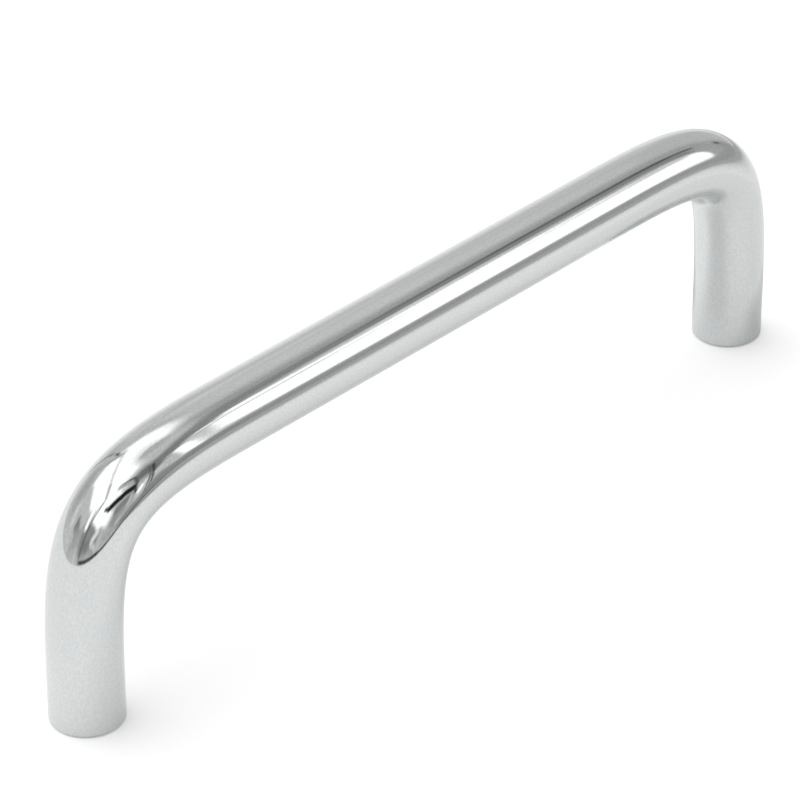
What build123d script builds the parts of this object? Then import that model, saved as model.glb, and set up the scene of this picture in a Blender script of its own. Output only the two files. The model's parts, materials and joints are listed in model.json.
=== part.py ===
from build123d import *
from math import radians, tan
import os

# Wire pull for a drawer front or a cabinet door. It is one length of round bar,
# bent square at both ends into two legs, with a tapped screw hole up each leg.
#
# Millimetres. The origin is on the mounting plane, midway between the two feet.
# +X runs along the grip, +Z points away from the surface that the pull is screwed to.

# The bent rod
rod_diameter = 7.94        # 5/16 in round bar
hole_spacing = 101.6       # 4 in from screw to screw, which is also leg to leg
projection = 30.2          # 1 3/16 in from the mounting plane to the top of the grip

# Both bends have one form: tight in the middle, and easing into the straight rod.
# The reach is how far from the corner, where the centrelines of leg and grip would
# meet, the rod begins to bend. The two shares place the curve's inner points
# along that reach: the first sets how gently it starts, the second how tight it gets.
bend_reach = 22.0
bend_start_share = 0.75
bend_core_share = 0.05

# The sharp rim of each sawn end is broken by a small chamfer.
foot_chamfer = 0.25

# The screw hole takes a No. 8-32 machine screw: a drilled wall, a cone left by the
# drill's point, and a countersink that is a little wider than the thread.
tap_drill_diameter = 3.45
thread_diameter = 4.17
countersink_margin = 0.15
countersink_angle = 90.0
hole_depth = 12.0
drill_point_angle = 118.0

# Worked out from the sizes above
rod_radius = rod_diameter / 2
leg_x = hole_spacing / 2
grip_height = projection - rod_radius


def bend(side):
    """The centreline of one bend, from the leg up and round to the grip.

    side is -1 for the leg at -X and 1 for the leg at +X. Three points in line at
    each end give the curve the direction and the zero curvature of the straight
    rod that it meets, so that no kink shows in the polish.
    """
    corner = Vector(side * leg_x, 0, grip_height)
    down_leg = Vector(0, 0, -1)
    along_grip = Vector(-side, 0, 0)
    shares = (1, bend_start_share, bend_core_share)
    leg_points = [corner + down_leg * (bend_reach * share) for share in shares]
    grip_points = [corner + along_grip * (bend_reach * share) for share in reversed(shares)]
    return Bezier(*leg_points, *grip_points)


def centreline():
    """The whole path of the rod: leg, bend, grip, bend, leg."""
    left_bend = bend(-1)
    right_bend = bend(1)
    left_leg = Line((-leg_x, 0, 0), left_bend @ 0)
    grip = Line(left_bend @ 1, right_bend @ 1)
    right_leg = Line(right_bend @ 0, (leg_x, 0, 0))
    return Wire([left_leg, left_bend, grip, right_bend, right_leg])


def bent_rod():
    """Round bar swept along the centreline, with both cut rims chamfered."""
    section = Plane((-leg_x, 0, 0), z_dir=(0, 0, 1)) * Circle(rod_radius)
    rod = sweep(section, path=centreline())
    foot_faces = rod.faces().filter_by(Axis.Z).group_by(Axis.Z)[0]
    return chamfer(foot_faces.edges(), foot_chamfer)


def screw_hole():
    """The space of one screw hole, standing on its mouth at the origin."""
    wall_radius = tap_drill_diameter / 2
    mouth_radius = thread_diameter / 2 + countersink_margin
    countersink_depth = (mouth_radius - wall_radius) / tan(radians(countersink_angle / 2))
    cone_height = wall_radius / tan(radians(drill_point_angle / 2))
    outline = Polyline(
        (0, 0, 0),
        (mouth_radius, 0, 0),
        (wall_radius, 0, countersink_depth),
        (wall_radius, 0, hole_depth),
        (0, 0, hole_depth + cone_height),
        close=True,
    )
    return revolve(make_face(outline), axis=Axis.Z)


def wire_pull():
    """The finished pull: the bent rod less a screw hole up each leg."""
    holes = [Pos(side * leg_x, 0, 0) * screw_hole() for side in (-1, 1)]
    return bent_rod() - holes


pull = wire_pull()
pull.label = "pull"
print("volume", round(pull.volume, 1), "mm3, box", pull.bounding_box())

os.makedirs("parts", exist_ok=True)
export_step(pull, "parts/pull.step")
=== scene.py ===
# %% [markdown]
# A wire pull for a drawer front: one length of round bar, bent square at both
# ends, sawn flat, tapped for two screws, polished and plated with bright chrome.
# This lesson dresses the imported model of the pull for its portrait. It follows
# the order of a studio session: fetch the object, set up the camera, work the
# metal, and only then build the light that the metal mirrors.

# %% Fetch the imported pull
import bpy
import json
import numpy as np
from math import cos, pi, radians, sin, tan
from mathutils import Matrix, Vector


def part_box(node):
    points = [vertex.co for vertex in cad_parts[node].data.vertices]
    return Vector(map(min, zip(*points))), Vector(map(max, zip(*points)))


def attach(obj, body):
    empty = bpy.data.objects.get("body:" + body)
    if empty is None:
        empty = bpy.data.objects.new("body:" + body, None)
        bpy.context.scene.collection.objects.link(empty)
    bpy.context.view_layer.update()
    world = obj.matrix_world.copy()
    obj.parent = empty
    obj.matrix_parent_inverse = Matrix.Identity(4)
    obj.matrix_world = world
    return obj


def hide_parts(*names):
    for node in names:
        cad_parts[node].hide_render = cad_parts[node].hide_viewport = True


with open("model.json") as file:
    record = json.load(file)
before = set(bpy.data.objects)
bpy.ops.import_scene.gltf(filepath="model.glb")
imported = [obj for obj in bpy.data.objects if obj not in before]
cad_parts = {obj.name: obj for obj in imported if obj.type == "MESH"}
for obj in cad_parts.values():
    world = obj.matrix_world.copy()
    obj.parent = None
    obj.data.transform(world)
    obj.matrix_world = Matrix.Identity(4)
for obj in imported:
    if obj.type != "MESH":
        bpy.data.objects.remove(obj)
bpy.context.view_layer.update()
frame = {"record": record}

# %% [markdown]
# The real sizes come first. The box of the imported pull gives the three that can
# be taken with a caliper: its depth is the thickness of the bar, its height is how
# far the grip stands off the drawer, and its length less one thickness is the
# distance from leg to leg. The record says how wide and how deep the holes are.

# %% Sizes of the real pull
MM = 0.001
INCH = 25.4 * MM
low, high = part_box("pull")
rod_diameter = high.y - low.y
rod_radius = rod_diameter / 2
projection = high.z - low.z
leg_x = (high.x - low.x - rod_diameter) / 2
grip_height = projection - rod_radius

mounts = {mount["name"]: mount for mount in frame["record"]["mounts"]}
hole_size = mounts["left_screw_hole"]["dims"]
print("rod", round(rod_diameter / MM, 2), "mm thick, legs", round(2 * leg_x / MM, 2), "mm apart")
print("screw holes", 2 * hole_size["r_mm"], "mm wide,", hole_size["length_mm"], "mm to the cone")

# %% [markdown]
# A product picture of a long thin thing is taken from far away with a long lens,
# so that the two legs stay nearly parallel and nearly alike in size. The camera
# here stands to the front and left of the pull, half a metre away, and looks down
# at a little over a third of a right angle. Its matrix is built from the three
# directions of its body, because then each number is one thing that a photographer
# would move.

# %% Camera
camera_azimuth = radians(-47.24)
camera_elevation = radians(32.45)
camera_roll = radians(0.08)
camera_distance = 0.48996
aim_right = -2.93 * MM
aim_up = 11.91 * MM
focal_length = 204.24
sensor_width = 36.0

backward = Vector((
    sin(camera_azimuth) * cos(camera_elevation),
    -cos(camera_azimuth) * cos(camera_elevation),
    sin(camera_elevation),
))
level_right = Vector((cos(camera_azimuth), sin(camera_azimuth), 0))
level_up = backward.cross(level_right)
camera_right = cos(camera_roll) * level_right + sin(camera_roll) * level_up
camera_up = cos(camera_roll) * level_up - sin(camera_roll) * level_right
aim = camera_right * aim_right + camera_up * aim_up

camera_data = bpy.data.cameras.new("portrait_camera")
camera_data.lens = focal_length
camera_data.sensor_width = sensor_width
camera = bpy.data.objects.new("portrait_camera", camera_data)
turn = Matrix((camera_right, camera_up, backward)).transposed().to_4x4()
camera.matrix_world = Matrix.Translation(aim + backward * camera_distance) @ turn
bpy.context.scene.collection.objects.link(camera)
bpy.context.scene.camera = camera
print("camera stands at", [round(v, 4) for v in camera.matrix_world.translation])

# %% [markdown]
# The bend is where the skill is. A rod that is bent round a former eases out of the
# straight, gets tight, and eases back, and in a mirror finish any sudden change
# would show as a kink in the reflections. A curve with six control points does
# this: three points in a row at each end make it leave the straight rod with no
# curvature at all. The other way would be to mesh an arc of a circle, and the
# reflections would then have a crease at both of its ends.

# %% Centreline of the rod
bend_reach = 22.0 * MM
bend_shares = (1, 0.75, 0.05)
fine_steps = 1500


def curve_points(controls, steps):
    """Points along a Bezier curve, by cutting between its control points again and again."""
    share = np.linspace(0, 1, steps)[:, None]
    rows = [np.array([point], float) for point in controls]
    while len(rows) > 1:
        rows = [a * (1 - share) + b * share for a, b in zip(rows, rows[1:])]
    return rows[0]


def bend_controls(side):
    """The six control points of one bend, from its leg to the grip."""
    corner = Vector((side * leg_x, 0, grip_height))
    down_leg = Vector((0, 0, -1))
    along_grip = Vector((-side, 0, 0))
    on_leg = [corner + down_leg * (bend_reach * share) for share in bend_shares]
    on_grip = [corner + along_grip * (bend_reach * share) for share in reversed(bend_shares)]
    return on_leg + on_grip


left_bend = curve_points(bend_controls(-1), fine_steps)
right_bend = curve_points(bend_controls(1), fine_steps)[::-1]
left_foot = (-leg_x, 0, 0)
right_foot = (leg_x, 0, 0)
route = np.vstack([
    curve_points([left_foot, left_bend[0]], fine_steps)[:-1],
    left_bend,
    curve_points([left_bend[-1], right_bend[0]], fine_steps)[1:-1],
    right_bend,
    curve_points([right_bend[-1], right_foot], fine_steps)[1:],
])
walked = np.concatenate([[0], np.cumsum(np.linalg.norm(np.diff(route, axis=0), axis=1))])
heading = np.gradient(route, walked, axis=0)
heading /= np.linalg.norm(heading, axis=1)[:, None]
rod_length = walked[-1]
print("the rod was", round(rod_length / MM, 2), "mm long before it was bent")

# %% [markdown]
# The skin of the pull is one closed sheet of rings. It starts at the point of the
# drill in the left leg, comes down the tapped hole, turns over the countersink and
# the sawn foot, goes round the chamfer and up the leg, and does the same backwards
# at the other end. A sweep modifier could make the rod, but not the holes, and a
# boolean would leave long thin faces that spoil a mirror finish.

# %% Rings along the rod
around = 96
ring_spacing = 0.45 * MM
foot_chamfer = 0.25 * MM
rim_softness = 0.07 * MM
theta = np.linspace(0, 2 * pi, around, endpoint=False)
rings = []
print("a ring has", around, "points,", round(2 * pi * rod_radius / around / MM, 2), "mm apart")


def add_ring(centre, outward, radius, along, zone, sharp=False):
    """One ring of the skin. Outward is the direction of theta 0, away from the inside of the bend."""
    radius = np.broadcast_to(radius, (around,))
    sideways = np.array([0.0, 1.0, 0.0])
    spokes = np.outer(np.cos(theta), outward) + np.outer(np.sin(theta), sideways)
    straight = np.stack([np.full(around, along), radius * np.cos(theta), radius * np.sin(theta)], 1)
    rings.append({
        "points": centre + spokes * radius[:, None],
        "straight": straight / MM,
        "zone": zone,
        "sharp": sharp,
    })


def rounded_corner(before, corner, after, steps=4):
    """Points that cut a corner with a small curve, as a polishing belt does."""
    return curve_points([before, corner, after], steps)


def rim_outline():
    """(radius, height) from the sawn face, over the softened chamfer, to the wall of the leg."""
    slope = rim_softness / 2 ** 0.5
    lower = np.array([rod_radius - foot_chamfer, 0])
    upper = np.array([rod_radius, foot_chamfer])
    last_on_face = lower - (rim_softness, 0)
    first_on_wall = upper + (0, rim_softness)
    bottom = rounded_corner(last_on_face, lower, lower + slope)
    top = rounded_corner(upper - slope, upper, first_on_wall)
    return np.vstack([bottom, top])


# %% [markdown]
# The screw hole is drilled, countersunk a little wider than the thread, and tapped
# for a small machine screw. A thread is a groove that climbs one pitch in each
# turn, so the radius of a ring depends on the angle as well as on the height. The
# groove has sloping sides and a narrow flat floor, and runs out near the bottom of
# the hole, where the tap had to stop before the drill's cone.

# %% Outline of the tapped hole
drilled_radius = hole_size["r_mm"] * MM
thread_radius = 4.17 / 2 * MM
threads_per_inch = 32
thread_pitch = INCH / threads_per_inch
countersink_margin = 0.15 * MM
drill_point_angle = radians(118)
flank_angle = radians(30)
thread_floor = thread_pitch / 16
thread_flank = (thread_radius - drilled_radius) * tan(flank_angle)
runout_turns = 1.5
rings_per_pitch = 12
shares_up_cone = (0.3, 0.65)
shares_across_face = (0.08, 0.35, 0.65, 0.92)

mouth_radius = thread_radius + countersink_margin
countersink_depth = mouth_radius - drilled_radius
hole_depth = countersink_depth + hole_size["length_mm"] * MM
thread_end = hole_depth - runout_turns * thread_pitch
drill_tip = hole_depth + drilled_radius / tan(drill_point_angle / 2)
print("thread pitch", round(thread_pitch / MM, 2), "mm, drilled to", round(drill_tip / MM, 2), "mm")


def tapped_radius(height, side):
    """Radius of the hole at one height, all the way round."""
    clockwise = theta if side > 0 else pi - theta
    turns = height / thread_pitch - clockwise / (2 * pi)
    off_groove = np.abs(turns % 1 - 0.5) * thread_pitch
    groove = np.clip(1 - (off_groove - thread_floor) / thread_flank, 0, 1)
    fading = np.clip((thread_end - height) / thread_pitch + 1, 0, 1)
    cut = drilled_radius + (thread_radius - drilled_radius) * groove * fading
    return np.maximum(cut, mouth_radius - height)


def add_foot(side):
    """The rings of one end: from the drill's cone to the wall of the leg, or back for the right leg."""
    start = len(rings)
    outward = np.array([side, 0.0, 0.0])

    def ring(radius, height, zone, sharp=False):
        centre = np.array([side * leg_x, 0.0, height])
        along = height if side < 0 else rod_length - height
        add_ring(centre, outward, radius, along, zone, sharp)

    for share in shares_up_cone:
        ring(drilled_radius * share, drill_tip - (drill_tip - hole_depth) * share, "hole")
    ring(drilled_radius, hole_depth, "hole", sharp=True)
    steps = int(hole_depth / thread_pitch * rings_per_pitch)
    for height in np.linspace(hole_depth, 0, steps, endpoint=False)[1:]:
        ring(tapped_radius(height, side), height, "hole")
    ring(mouth_radius, 0, "hole", sharp=True)
    rim = rim_outline()
    for share in shares_across_face:
        ring(mouth_radius + (rim[0][0] - mouth_radius) * share, 0, "sawn")
    for radius, height in rim:
        ring(radius, height, "sawn" if height == 0 else "wall")
    if side > 0:
        rings[start:] = rings[start:][::-1]


# %% [markdown]
# Now the rings are put in order and joined by four-sided faces, with a fan of
# three-sided ones at the tip of each drilled hole. The rings of the wall are made
# here as well: each stands square to the centreline, a little less than half a
# millimetre after the last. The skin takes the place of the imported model, rides on
# its only body, and is filed as chrome.

# %% Skin of the pull
add_foot(-1)
wall_start = foot_chamfer + rim_softness
wall_steps = int((rod_length - 2 * wall_start) / ring_spacing)
for along in np.linspace(wall_start, rod_length - wall_start, wall_steps + 1)[1:-1]:
    centre = np.array([np.interp(along, walked, route[:, axis]) for axis in range(3)])
    forward = np.array([np.interp(along, walked, heading[:, axis]) for axis in range(3)])
    forward /= np.linalg.norm(forward)
    outward = np.array([-forward[2], 0.0, forward[0]])
    add_ring(centre, outward, rod_radius, along, "wall")
add_foot(1)

first_tip = (-leg_x, 0.0, drill_tip)
last_tip = (leg_x, 0.0, drill_tip)
points = np.vstack([first_tip] + [ring["points"] for ring in rings] + [last_tip])
straight = np.vstack(
    [(drill_tip / MM, 0, 0)]
    + [ring["straight"] for ring in rings]
    + [((rod_length - drill_tip) / MM, 0, 0)]
)
zones = [ring["zone"] for ring in rings]


def skin_faces():
    """A fan at each drill tip, and a band of four-sided faces between each two rings."""
    faces = []
    last_ring = 1 + (len(rings) - 1) * around
    for k in range(around):
        beside = (k + 1) % around
        faces.append((0, 1 + k, 1 + beside))
        for i in range(len(rings) - 1):
            here = 1 + i * around
            after = here + around
            faces.append((here + k, after + k, after + beside, here + beside))
        faces.append((last_ring + k, len(points) - 1, last_ring + beside))
    return faces


skin = bpy.data.meshes.new("wire_pull")
skin.from_pydata(points.tolist(), [], skin_faces())
skin.shade_smooth()

pull = bpy.data.objects.new("wire_pull", skin)
bpy.context.scene.collection.objects.link(pull)
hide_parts("pull")
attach(pull, "root")
print(len(rings), "rings and", len(skin.polygons), "faces")

# %% [markdown]
# Every point remembers where it was on the straight rod before bending. The finish
# is worked out in those coordinates later, so the polishing lines run along the
# metal and round the bends, as they do on a rod that was polished and then bent.
# Each point also knows whether it lies in a hole or on a sawn face. The polish
# flows smoothly over all of it, except at the two rings of each hole that a drill
# leaves sharp: the mouth of the countersink, and the bottom where the cone starts.

# %% What the skin remembers
def store(name, kind, values):
    """Keep one value per point of the skin under a name that the finish can read."""
    attribute = skin.attributes.new(name, kind, "POINT")
    key = "vector" if kind == "FLOAT_VECTOR" else "value"
    attribute.data.foreach_set(key, np.asarray(values, np.float32).ravel())


def zone_mask(zone):
    """1 at the points of the rings in this zone, 0 elsewhere."""
    on_rings = np.repeat([float(name == zone) for name in zones], around)
    at_tip = float(zone == "hole")
    return np.concatenate([[at_tip], on_rings, [at_tip]])


store("straight_rod", "FLOAT_VECTOR", straight)
store("in_hole", "FLOAT", zone_mask("hole"))
store("on_sawn_face", "FLOAT", zone_mask("sawn"))

edge_ends = np.zeros(len(skin.edges) * 2, np.int32)
skin.edges.foreach_get("vertices", edge_ends)
ring_of_end = (edge_ends.reshape(-1, 2) - 1) // around
sharp_rings = [i for i, ring in enumerate(rings) if ring["sharp"]]
same_ring = ring_of_end[:, 0] == ring_of_end[:, 1]
is_sharp = same_ring & np.isin(ring_of_end[:, 0], sharp_rings)
sharp_edges = skin.attributes.new("sharp_edge", "BOOLEAN", "EDGE")
sharp_edges.data.foreach_set("value", is_sharp)
skin.update()
print(is_sharp.sum(), "sharp edges in", len(sharp_rings), "rings")

# %% [markdown]
# A finish is a small program that runs at every point of the surface. Blender
# draws it as nodes and wires, but sums are easier to read as sums. The class below
# wraps one wire. Adding or multiplying two wires puts the matching Math node into
# the tree, and one method adds a node of any other kind. From here on the name
# sheet always stands for the finish that is being drawn, so that the helpers
# needn't be told which one they work on.


# %% Wires that can be used in sums
class Wire:
    """One output of a node in a tree. A sum on it adds the Math nodes that it needs."""

    def __init__(self, tree, socket=None):
        self.tree = tree
        self.socket = socket

    def node(self, kind, sockets=(), output=0, **settings):
        """Add a node: first its settings, then the values or wires of its sockets."""
        made = self.tree.nodes.new(kind)
        for name, value in settings.items():
            setattr(made, name, value)
        for name, value in dict(sockets).items():
            if isinstance(value, Wire):
                self.tree.links.new(value.socket, made.inputs[name])
            else:
                made.inputs[name].default_value = value
        return Wire(self.tree, made.outputs[output] if made.outputs else None)

    def math(self, operation, *values):
        return self.node("ShaderNodeMath", enumerate(values), operation=operation)

    def vector_math(self, operation, *values, output="Vector"):
        return self.node("ShaderNodeVectorMath", enumerate(values), output, operation=operation)

    def soft_step(self, start, end):
        """0 up to start, 1 from end on, and a smooth rise between them."""
        return self.node(
            "ShaderNodeMapRange",
            {"Value": self, "From Min": start, "From Max": end},
            interpolation_type="SMOOTHSTEP",
        )

    def blend(self, other, share):
        """This value where share is 0, the other where it is 1."""
        return self + (other - self) * share

    def __add__(self, other):
        return self.math("ADD", self, other)

    def __radd__(self, other):
        return self.math("ADD", other, self)

    def __sub__(self, other):
        return self.math("SUBTRACT", self, other)

    def __rsub__(self, other):
        return self.math("SUBTRACT", other, self)

    def __mul__(self, other):
        return self.math("MULTIPLY", self, other)

    def __rmul__(self, other):
        return self.math("MULTIPLY", other, self)

    def __abs__(self):
        return self.math("ABSOLUTE", self)


def empty_tree(owner):
    """The node tree of a material or a world, with nothing in it yet."""
    owner.use_nodes = True
    owner.node_tree.nodes.clear()
    return Wire(owner.node_tree)


# %% [markdown]
# Bright chrome is a mirror with a faint blue-green cast. What tells it from a
# perfect mirror is how the metal under the plate was worked, so the finish has to
# know where on the rod it is. It reads the place on the straight rod, and whether
# the point is in a hole or on a sawn face. One noise, stretched by different
# amounts, then serves for waves, hair lines and pits. A picture of scratches could
# do this too, but it would need unwrapping and would blur when seen up close.

# %% Places on the metal
chrome = bpy.data.materials.new("polished_chrome")
sheet = empty_tree(chrome)


def stored(name, output):
    """What was kept with the points of the skin under this name."""
    return sheet.node("ShaderNodeAttribute", output=output, attribute_name=name)


straight_place = stored("straight_rod", "Vector")
in_hole = stored("in_hole", "Fac")
on_sawn_face = stored("on_sawn_face", "Fac")
on_wall = (1 - in_hole) * (1 - on_sawn_face)


def grain(length, width, detail=2.0):
    """Noise from 0 to 1 with grains of that length along the rod and that width round it, in mm."""
    stretched = sheet.vector_math("MULTIPLY", straight_place, (1 / length, 1 / width, 1 / width))
    return sheet.node("ShaderNodeTexNoise", {"Vector": stretched, "Scale": 1.0, "Detail": detail})


print("places on the metal:", len(chrome.node_tree.nodes), "nodes")

# %% [markdown]
# The belt leaves shallow waves a few millimetres long, the last buffing leaves
# hair lines along the rod, and hands leave patches of haze. The sawn faces keep
# the marks of the saw, and the holes those of the tap. Each of them is a grain of
# its real size in millimetres. Roughness is how far a surface scatters what it
# mirrors, from 0 to 1: under a tenth on the polish, over a quarter on sawn steel.

# %% Marks of the work
haze_edge = (0.42, 0.72)
pit_edge = (0.30, 0.70)
polish_at_best = 0.05
added_by_haze = 0.04
added_by_lines = 0.03
sawn_at_best = 0.22
added_by_saw = 0.14
bored_at_best = 0.34
added_by_tap = 0.20

belt_waves = grain(length=14.0, width=2.6)
hair_lines = grain(length=9.0, width=0.16, detail=3.0)
handling_haze = grain(length=11.0, width=7.0, detail=4.0).soft_step(*haze_edge)
fine_pitting = grain(length=0.30, width=0.22, detail=1.0).soft_step(*pit_edge)
saw_marks = grain(length=2.0, width=0.35)
tap_marks = grain(length=0.3, width=1.2)

polished_roughness = polish_at_best + handling_haze * added_by_haze + hair_lines * added_by_lines
sawn_roughness = sawn_at_best + saw_marks * added_by_saw
bored_roughness = bored_at_best + tap_marks * added_by_tap
roughness = polished_roughness.blend(sawn_roughness, on_sawn_face).blend(bored_roughness, in_hole)
print("marks of the work:", len(chrome.node_tree.nodes), "nodes so far")

# %% [markdown]
# Metal has no colour under its shine: its colour is the tint of what it mirrors.
# Chrome gives back seven tenths of the light, a little less where it is handled or
# pitted. The plating bath hardly reaches into the holes, so the steel there stays
# brown-grey and dull. The colours go from one to the next in Mix nodes.

# %% Colours of the metal
chrome_tint = (0.702, 0.720, 0.715, 1)
handled_tint = (0.66, 0.68, 0.68, 1)
pitted_tint = (0.64, 0.66, 0.66, 1)
sawn_tint = (0.60, 0.62, 0.62, 1)
bare_steel_tint = (0.33, 0.32, 0.31, 1)
haze_share = 0.25


def mix_colours(share, first, second):
    """A Mix node set to colour: its sockets 6 and 7 take the colours, and its output 2 gives one."""
    return sheet.node(
        "ShaderNodeMix", {0: share, 6: first, 7: second}, output=2, data_type="RGBA"
    )


plated = mix_colours(handling_haze * haze_share, chrome_tint, handled_tint)
plated = mix_colours(fine_pitting, plated, pitted_tint)
plated = mix_colours(on_sawn_face, plated, sawn_tint)
colour = mix_colours(in_hole, plated, bare_steel_tint)
print("chrome gives back", round(sum(chrome_tint[:3]) / 3, 2), "of the light")

# %% [markdown]
# The marks also have a height, in metres here: the waves of the belt are under two
# thousandths of a millimetre, and a mirror still shows them as a slight wobble of
# each edge. A Bump node leans the surface by the slope of that height. Moving the
# real mesh would need millions of points for the same wobble.

# %% Relief and shine
wave_height = 1.6e-6
line_height = 0.35e-6
saw_height = 12e-6

relief = (
    belt_waves * wave_height * on_wall
    + hair_lines * line_height * on_wall
    + saw_marks * saw_height * on_sawn_face
    + tap_marks * saw_height * in_hole
)
normal = sheet.node("ShaderNodeBump", {"Strength": 1.0, "Distance": 1.0, "Height": relief})
surface = sheet.node(
    "ShaderNodeBsdfPrincipled",
    {"Base Color": colour, "Metallic": 1.0, "Roughness": roughness, "Normal": normal},
)
sheet.node("ShaderNodeOutputMaterial", {"Surface": surface})
skin.materials.append(chrome)
print("chrome finish:", len(chrome.node_tree.nodes), "nodes")

# %% [markdown]
# The pull stands on a sheet of white paper that runs far past the picture. It is
# only part of the stage, so it is a single flat face, level with the sawn feet. In
# the grip and the legs most of what is mirrored is this paper, and that is why a
# chrome pull on a white table looks pale grey rather than dark.

# %% Sheet of paper
floor_half = 1.5
corner_sides = ((-1, -1), (1, -1), (1, 1), (-1, 1))

floor_mesh = bpy.data.meshes.new("paper_floor")
floor_corners = [(x * floor_half, y * floor_half, 0) for x, y in corner_sides]
floor_mesh.from_pydata(floor_corners, [], [(0, 1, 2, 3)])
floor = bpy.data.objects.new("paper_floor", floor_mesh)
bpy.context.scene.collection.objects.link(floor)
print("the paper is", 2 * floor_half, "m wide")

# %% [markdown]
# The paper is painted darker in places, for the metal alone: this is painted
# shade. Away to the front and to the right it stands for the paper leaving the
# light, and a dimmer painted patch lies across the front. The camera's picture
# ends before these places, but the metal mirrors them as soft grey lines. Each
# place is the product of soft steps along the axes, so that its edges can be moved
# one at a time. Close by, the pull keeps some light off the paper beneath the grip
# and round the right leg. The metal mirrors that shade more than the picture shows
# it, so it is painted as soft bands of shadow for the metal alone, each from one
# place on the paper to another. All these distances are in metres.

# %% Painted shade on the paper
front_fade = (0.065, 0.190)
front_fade_left = (0.020, 0.050)
right_fade = (0.070, 0.300)
right_fade_back = (0.080, 0.240)
fade_share = 0.52
shade_patch_front = (0.080, 0.180)
shade_patch_left = (0.005, 0.030)
shade_patch_right = (0.070, 0.130)
shade_patch_share = 0.62

paper = bpy.data.materials.new("white_paper")
sheet = empty_tree(paper)
paper_place = sheet.node("ShaderNodeNewGeometry", output="Position")


def split(vector):
    """The three numbers of a vector, each on a wire of its own."""
    first = sheet.node("ShaderNodeSeparateXYZ", {"Vector": vector}, output="X")
    return [Wire(sheet.tree, socket) for socket in first.socket.node.outputs]


def from_line(place, start, end):
    """How far a place is from the straight line that joins two others."""
    run = Vector((*end, 0)) - Vector((*start, 0))
    offset = sheet.vector_math("SUBTRACT", place, (*start, 0))
    along = sheet.vector_math("DOT_PRODUCT", offset, run / run.length_squared, output="Value")
    share = sheet.math("MINIMUM", sheet.math("MAXIMUM", along, 0), 1)
    reached = sheet.node("ShaderNodeVectorMath", {0: run, "Scale": share}, operation="SCALE")
    return sheet.vector_math("DISTANCE", offset, reached, output="Value")


def shaded(start, end, edge, share):
    """A band of painted shade on the paper: full up to the first edge, and gone at the second."""
    return (1 - from_line(paper_place, start, end).soft_step(*edge)) * share


at_right, at_back = split(paper_place)[:2]
in_front = 0 - at_back
# Painted shade: the paper leaving the light to the front and right, and a dim patch across the front.
faded_front = in_front.soft_step(*front_fade) * at_right.soft_step(*front_fade_left)
faded_right = at_right.soft_step(*right_fade) * (1 - at_back.soft_step(*right_fade_back))
faded = sheet.math("MAXIMUM", faded_front, faded_right) * fade_share
shade_patch_across = at_right.soft_step(*shade_patch_left) * (1 - at_right.soft_step(*shade_patch_right))
shade_patch = in_front.soft_step(*shade_patch_front) * shade_patch_across * shade_patch_share
# Painted shadows of the pull on the paper: beneath the grip, and behind, beside and at the foot of the
# right leg.
under_grip = shaded((-0.024, -0.001), (0.034, -0.001), edge=(0.003, 0.014), share=0.13)
behind_leg = shaded((0.056, 0.010), (0.061, 0.016), edge=(0.003, 0.010), share=0.38)
beside_leg = shaded((0.075, -0.020), (0.085, 0.010), edge=(0.010, 0.035), share=0.09)
at_foot = shaded((0.056, -0.006), (0.064, -0.001), edge=(0.001, 0.010), share=0.26)
dimmed = faded
for shade in (shade_patch, under_grip, behind_leg, beside_leg, at_foot):
    dimmed = sheet.math("MAXIMUM", dimmed, shade)
print("places where the paper is dim:", len(paper.node_tree.nodes), "nodes")

# %% [markdown]
# A product picture shows the paper as pure white. More lamps would do that and
# would burn out the pale metal as well. So the paper is honest matt paper that the
# lamp lights almost to white, and the last bit is a glow. The Light Path node says
# what kind of ray is looking: the camera gets more of the glow than the mirror
# does, and light that lands on other things gets none. The shadows at the feet
# stay, because the glow is the same everywhere and only the honest part darkens.

# %% White paper
paper_albedo = 0.90
glow_for_camera = 0.30
glow_for_metal = 0.16

seen_by_camera = sheet.node("ShaderNodeLightPath", output="Is Camera Ray")
seen_in_metal = sheet.node("ShaderNodeLightPath", output="Is Glossy Ray")


def glowing(strength):
    """A plain white glow of one strength."""
    return sheet.node("ShaderNodeEmission", {"Color": (1, 1, 1, 1), "Strength": strength})


def mix_shaders(share, first, second):
    """The first shader where the share is 0, the second where it is 1."""
    return sheet.node("ShaderNodeMixShader", {0: share, 1: first, 2: second})


glow = mix_shaders(seen_in_metal, glowing(0), glowing(glow_for_metal))
glow = mix_shaders(seen_by_camera, glow, glowing(glow_for_camera))
matt = sheet.node("ShaderNodeBsdfDiffuse", {"Color": (paper_albedo,) * 3 + (1,)})
both = sheet.node("ShaderNodeAddShader", {0: matt, 1: glow})
# Only the metal sees the paper darkened by this painted shade and shadow.
partly_dimmed = mix_shaders(seen_in_metal * dimmed, both, glowing(0))
sheet.node("ShaderNodeOutputMaterial", {"Surface": partly_dimmed})
floor_mesh.materials.append(paper)
print("white paper:", len(paper.node_tree.nodes), "nodes")

# %% [markdown]
# What a chrome rod looks like is what stands round it. The studio is drawn like a
# plan of the room: the middle is straight overhead, and the rim, 90 degrees out,
# is the horizon. The right of the pull is at +X on the plan and its back at +Y.
# Real lamps and boards could be modelled instead, but each would have to be found
# by trial, while on the plan a card is simply drawn where the mirror shows it.

# %% Plan of the studio
world = bpy.data.worlds.new("studio")
bpy.context.scene.world = world
sheet = empty_tree(world)
direction = sheet.node("ShaderNodeTexCoord", output="Generated")
toward_right, toward_back, toward_up = split(direction)
to_degrees = 180 / pi
bearing = sheet.math("ARCTAN2", toward_right, 0 - toward_back)
compass = bearing * to_degrees
height = sheet.math("ARCSINE", toward_up) * to_degrees
from_top = 90 - height
spot = sheet.node("ShaderNodeCombineXYZ", {
    "X": from_top * sheet.math("SINE", bearing),
    "Y": 0 - from_top * sheet.math("COSINE", bearing),
})
print("plan of the studio:", len(world.node_tree.nodes), "nodes")

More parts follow.
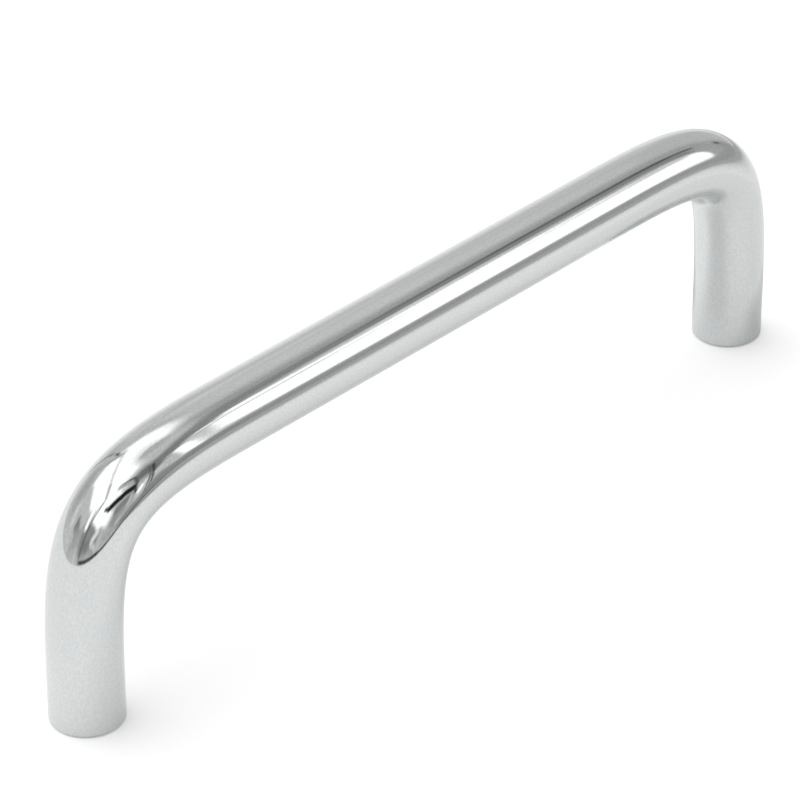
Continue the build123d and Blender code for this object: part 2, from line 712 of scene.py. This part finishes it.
# %% [markdown]
# Three shapes are enough for the cards: a straight strip with round ends, an oval,
# and a band along the horizon. Each is 1 inside and 0 outside, and all sizes and
# soft edges are in degrees of the plan, except that an oval's softness is a share
# of its size. A strip measures how far off its middle line a place is, as the bands
# of shade on the paper do, and an oval looks at the plan through a Mapping node
# that makes it a circle. In the cells below, a strip is written as its two ends,
# width and softness, an oval as its middle, two widths and softness, and a band as
# its azimuth, elevation, size and softness.


# %% Shapes on the plan
def inside(distance, edge, softness):
    """1 up to the edge and 0 beyond it, with a soft change of that width."""
    return 1 - distance.soft_step(edge - softness / 2, edge + softness / 2)


def strip(start, end, width, softness):
    """A straight band with round ends, from one place on the plan to another."""
    return inside(from_line(spot, start, end), width / 2, softness)


def oval(centre, size, softness, lean=0):
    """An ellipse, turned by lean degrees. The softness is a share of its size."""
    laid_out = sheet.node("ShaderNodeMapping", {
        "Vector": spot,
        "Location": (*centre, 0),
        "Rotation": (0, 0, radians(lean)),
        "Scale": (size[0] / 2, size[1] / 2, 1),
    }, vector_type="TEXTURE")
    from_middle = sheet.vector_math("LENGTH", laid_out, output="Value")
    return inside(from_middle, 1, 2 * softness)


def along_horizon(azimuth, elevation, size, softness):
    """A band that follows the horizon: size and softness are sideways and upward."""
    sideways = sheet.math("WRAP", compass - azimuth, 180, -180)
    return (
        inside(abs(sideways), size[0] / 2, softness[0])
        * inside(abs(height - elevation), size[1] / 2, softness[1])
    )


# %% [markdown]
# The room starts as a grey wall all round with uneven light on it, coarse sideways
# and coarser upward. Then the cards are hung one after another, each in front of
# those before it, as in a stack of paper cut-outs. Their brightness is counted in
# whites of the paper: a lamp or a window has the full light, which the picture shows
# as white even after the chrome has kept back its share, a grey wall has a third
# to a half of that, and a black bar next to nothing.

# %% Bare room
full_light = 1.7
bare_wall = 0.70
wall_unevenness = 0.50
blotches_across = 6.0
blotches_upward = 2.5
blotch_place = sheet.vector_math(
    "MULTIPLY", direction, (blotches_across, blotches_across, blotches_upward)
)
uneven = sheet.node("ShaderNodeTexNoise", {"Vector": blotch_place, "Scale": 1.0, "Detail": 3.0})
room = bare_wall + (uneven - 0.5) * wall_unevenness
card_names = []


def hang(name, brightness, shape):
    """Hang a card in the room, in front of the cards that hang there already."""
    global room
    room = room.blend(brightness, shape)
    card_names.append(name)


print("bare wall at", bare_wall, "of the paper's white")

# %% [markdown]
# The walls come first. The top of the grip mirrors the right wall, and the outer
# side of the near bend mirrors the back and the left as calm greys, with a few
# streaks from a shelf and a door frame.

# %% Walls
hang("lighter foot of the back wall", 0.90, along_horizon(146, 1, (64, 20), (24, 18)))
hang("right wall", 0.63, along_horizon(105, 26, (46, 48), (12, 14)))
hang("lighter side of the right wall", 0.76, strip((39, 15), (40, 28), 8, 10))
hang("grey back wall", 0.52, oval((-16, 66), (40, 26), 0.8))
hang("door frame", 0.34, strip((12, 58), (22, 90), 2.4, 3))
hang("dim left wall", 0.48, oval((-62, 22), (34, 40), 0.6))
hang("dim corner", 0.34, oval((-60, 28), (10, 14), 0.9))
hang("dim shelf", 0.27, strip((-43, 22), (-60, 36), 5, 5))
hang("pale left edge", 0.90, strip((-38, 54), (-50, 54), 7, 8))
hang("pale left foot", 0.70, strip((-57, 52), (-70, 34), 5, 6))
print(len(card_names), "cards after the walls")

# %% [markdown]
# Overhead hang two softboxes that nearly touch. The bend mirrors them as its large
# white patches, and the seam between them as a thin line that bends with it. The
# grey lens is bare ceiling that the light passes by, and has that shape in the bend.

# %% Ceiling
hang("ceiling softbox", full_light, oval((-11, 8), (74, 74), 0.16))
hang("dim edge of the ceiling", 0.70, strip((-30, 42), (-56, 14), 16, 6))
hang("second softbox", 1.5, oval((10, 17), (31, 34), 0.3))
hang("unlit ceiling", 0.70, oval((16, -18), (24, 40), 0.6, lean=20))
hang("grey lens", 0.60, oval((14.5, -10), (18, 13), 0.26))
hang("grey end of the door frame", 0.52, strip((6, 34), (1, 50), 6, 5))
hang("dark top of the door frame", 0.14, strip((6.5, 42), (9.5, 51), 2.2, 2.2))
hang("far half of the seam", 1.0, strip((4, 30), (-10, 14), 3.5, 3))
hang("near half of the seam", 0.90, strip((-10, 14), (-22, -2), 4, 4))
hang("end of the seam", 0.62, strip((-22, -3), (-33, -18), 5, 4))
print(len(card_names), "cards after the ceiling")

# %% [markdown]
# In front on the left stand the reflectors that light the near leg. Below them the
# room is dark down to the edge of the paper, which gives the bend its dark foot.

# %% Front left
hang("dark left front", 0.35, strip((-72, -10), (-58, -42), 28, 14))
hang("darkest left front", 0.28, strip((-78, -12), (-72, -30), 8, 10))
hang("side window", full_light, strip((-44, -3), (-61, -4), 7, 6))
hang("outer reflector", full_light, strip((-47, -20), (-46, -38), 15, 7))
hang("low reflector", full_light, strip((-40, -42), (-30, -62), 14, 7))
hang("inner reflector", full_light, strip((-36, -24), (-12, -36), 13, 7))
hang("dark seam of the reflectors", 0.30, strip((-36, -17), (-60, -13), 3.5, 3))
hang("foot of that seam", 0.16, strip((-60, -13), (-84, -13), 4, 4))
hang("dim end of the inner reflector", 0.70, strip((-14, -38), (-10, -42), 3, 3))
hang("pale board by the foot", 1.0, strip((-52, -45.5), (-64, -40), 8, 5))
hang("dim front wall", 0.42, oval((-20, -68), (46, 24), 0.8))
hang("dark front wall", 0.30, strip((-21, -60), (-6, -63), 9, 6))
hang("pale front edge", 0.60, strip((-40, -66), (-28, -74), 4, 5))
hang("pale front foot", 0.85, strip((-66, -44), (-60, -56), 4, 5))
hang("pale front floor", 0.80, strip((-16, -77), (-3, -81), 3.5, 4))
print(len(card_names), "cards after the front left")

# %% [markdown]
# The darkest thing that the pull mirrors is a black bar across the front, with a
# thinner bar over it and an upright at its right end. A black bar is a trick of
# the trade: without something black to mirror, chrome looks like grey plastic.

# %% Front, with the black bar
hang("dark front ceiling", 0.23, strip((8, -44), (22, -48), 18, 11))
hang("dark right ceiling", 0.28, strip((22, -42), (34, -28), 13, 10))
hang("dark right beam", 0.34, strip((33, -30), (38, -14), 8, 9))
hang("dark foot of the front wall", 0.34, along_horizon(8, 4, (34, 12), (14, 10)))
hang("thin end of the black bar", 0.04, strip((-36.5, -33), (-33.5, -38.5), 4, 3))
hang("middle of the black bar", 0.012, strip((-31, -41), (-12, -49), 8.5, 3))
hang("right end of the black bar", 0.015, strip((-12, -48), (1, -55), 7.5, 3))
hang("black leg of the bar", 0.04, strip((2, -56), (5, -65), 3, 2.5))
hang("grey upper bar", 0.55, strip((-15, -28), (-4, -40), 7, 5))
hang("upper bar", 0.12, strip((-10.5, -29.5), (-5, -34), 1.8, 1.8))
hang("end of the upper bar", 0.10, strip((-5, -34), (0.5, -39), 2.4, 1.8))
hang("upright of the bar", 0.12, strip((0, -39), (4, -53), 2.8, 2.5))
print(len(card_names), "cards after the black bar")

# %% [markdown]
# Between the black bar and the windows are two small lamps and two stands. The
# stands are only a degree or two wide, and show as the fine dark lines that run
# down the inner side of the bend.

# %% Small lamps and thin stands
hang("small lamp", 1.6, oval((10.5, -67), (6, 9), 0.4))
hang("second small lamp", 1.0, oval((14, -62.5), (4, 6), 0.6))
hang("pale front panel", 0.75, strip((0, -66), (-2, -72), 3.5, 4))
hang("top of the left stand", 0.14, strip((12, -42), (16, -58), 1.2, 1.2))
hang("leg of the left stand", 0.12, strip((16, -58), (20, -79), 1.7, 1.2))
hang("top of the right stand", 0.05, strip((15, -43), (19, -60), 2.0, 1.4))
hang("leg of the right stand", 0.05, strip((19, -60), (25, -84), 1.9, 1.3))
print(len(card_names), "cards after the small lamps")

# %% [markdown]
# The front right has a narrow window and a wide one. The straight grip stretches
# the wide window into the white band along its whole length, and the dark lintel
# over it into the dark line above that band. The blind and the small cards at the
# window's top give the upper edge of the band its slow change along the grip.

# %% Front right, with the windows
hang("pale edge of the windows", 0.95, strip((21, -60), (28, -55), 2.5, 2.5))
hang("gap beside the window", 0.50, along_horizon(74, 14, (22, 34), (10, 10)))
hang("window wall", 0.80, strip((33, -43), (43, -60), 7, 4))
hang("pale side of the narrow window", 0.60, strip((25.5, -49), (24, -55), 4, 4))
hang("narrow window", full_light, strip((30, -49), (39, -63), 5.5, 2.5))
hang("foot of the narrow window", full_light, strip((38, -62), (43, -66), 2.5, 2))
hang("shade under the windows", 0.40, strip((28, -72), (58, -82), 10, 5))
hang("left edge of the wide window", full_light, strip((38.4, -38), (45, -57), 6, 2.5))
hang("wide window, left half", full_light, strip((43, -33), (49, -57), 8.5, 4))
hang("wide window, right half", full_light, oval((57, -41), (27, 34), 0.16))
hang("foot of the wide window", 0.95, strip((40, -58), (49, -68), 4, 3))
hang("blind of the wide window", 0.85, strip((46, -31), (52, -27), 8, 5))
hang("shade of the lintel", 0.46, strip((37, -6), (58, -4), 18, 16))
hang("dark lintel", 0.32, strip((38, -18), (52, -17), 12, 8))
hang("darkest lintel", 0.14, strip((41, -11), (46, -12), 5, 5))
hang("dark line of the lintel", 0.13, strip((44.5, -12), (56, -9.5), 3.6, 3))
hang("top of the wide window", full_light, strip((39.5, -32.5), (41.5, -31.5), 6, 3))
hang("tip of the wide window", 1.0, strip((40.6, -30), (40.5, -23.5), 2.6, 3))
hang("upper left end of the wide window", 1.3, strip((34, -39), (38.4, -36.5), 3, 3))
hang("window bar", 0.30, strip((33.5, -42.4), (41.5, -36), 1.3, 0.9))
hang("shade on the right wall", 0.40, oval((83, -1), (26, 20), 0.8))
hang("dark knob on the right wall", 0.16, oval((74, 0), (5, 7), 0.7))
print(len(card_names), "cards after the windows")

# %% [markdown]
# Last comes the horizon. Where the paper ends, a thin dark gap lies between it and
# the room. The near bend mirrors that gap as the fine line round its dark patch.

# %% Horizon
hang("foot of the right wall", 0.43, along_horizon(56, 1, (68, 17), (14, 7)))
hang("dark foot of the windows", 0.34, along_horizon(26, 3, (22, 16), (8, 8)))
hang("gap under the left side", 0.03, along_horizon(-58, 0.9, (46, 3.0), (10, 1.6)))
hang("gap under the left front", 0.03, along_horizon(-24, 0.1, (34, 2.8), (10, 1.6)))
hang("gap under the front", 0.03, along_horizon(6, -0.4, (38, 2.4), (10, 1.6)))
print(len(card_names), "cards in the studio")

# %% [markdown]
# A world shader can be asked what kind of ray is looking, too. The camera gets
# plain white behind everything, the mirror gets the cards, and everything else
# gets one weak even light. Mix Shader nodes do the choosing, because the renderer
# then works out only the branch that it needs, which saves it much time.

# %% Light of the room
even_light = 0.11
white = 1.0


def sky(strength):
    """A plain white sky of one strength."""
    return sheet.node("ShaderNodeBackground", {"Color": (1, 1, 1, 1), "Strength": strength})


seen_by_camera = sheet.node("ShaderNodeLightPath", output="Is Camera Ray")
seen_in_metal = sheet.node("ShaderNodeLightPath", output="Is Glossy Ray")
cards = mix_shaders(room * (1 / full_light), sky(0), sky(full_light))
unseen = mix_shaders(seen_in_metal, sky(even_light), cards)
around_pull = mix_shaders(seen_by_camera, unseen, sky(white))
sheet.node("ShaderNodeOutputWorld", {"Surface": around_pull})
print("studio ball:", len(world.node_tree.nodes), "nodes")

# %% [markdown]
# The light that falls on the paper is one very wide lamp, overhead and somewhat to
# the back, so that the feet throw short soft shadows toward the front and right. A
# sun lamp is far away and lights the whole sheet evenly, and its angle makes it as
# wide as a big softbox. The metal doesn't mirror it: its card on the plan does that.

# %% Lamp
lamp_azimuth = radians(-165)
lamp_elevation = radians(72)
lamp_width = radians(82)
lamp_strength = 2.8

lamp_data = bpy.data.lights.new("overhead_softbox", "SUN")
lamp_data.angle = lamp_width
lamp_data.energy = lamp_strength
toward_lamp = Vector((
    sin(lamp_azimuth) * cos(lamp_elevation),
    -cos(lamp_azimuth) * cos(lamp_elevation),
    sin(lamp_elevation),
))
lamp = bpy.data.objects.new("overhead_softbox", lamp_data)
lamp.matrix_world = toward_lamp.to_track_quat("Z", "Y").to_matrix().to_4x4()
lamp.visible_glossy = False
bpy.context.scene.collection.objects.link(lamp)
lit_paper = paper_albedo * (lamp_strength * sin(lamp_elevation) / pi + even_light)
print("open paper under the lamp is at", round(lit_paper, 2), "of white before its glow")

# %% [markdown]
# The picture is developed with the Standard curve. It shows each brightness as it
# is, so a grey that was set on a card comes back as that grey in the metal, less
# the share of the light that chrome keeps.

# %% Picture settings
bpy.context.scene.view_settings.view_transform = "Standard"
print("picture curve:", bpy.context.scene.view_settings.view_transform)
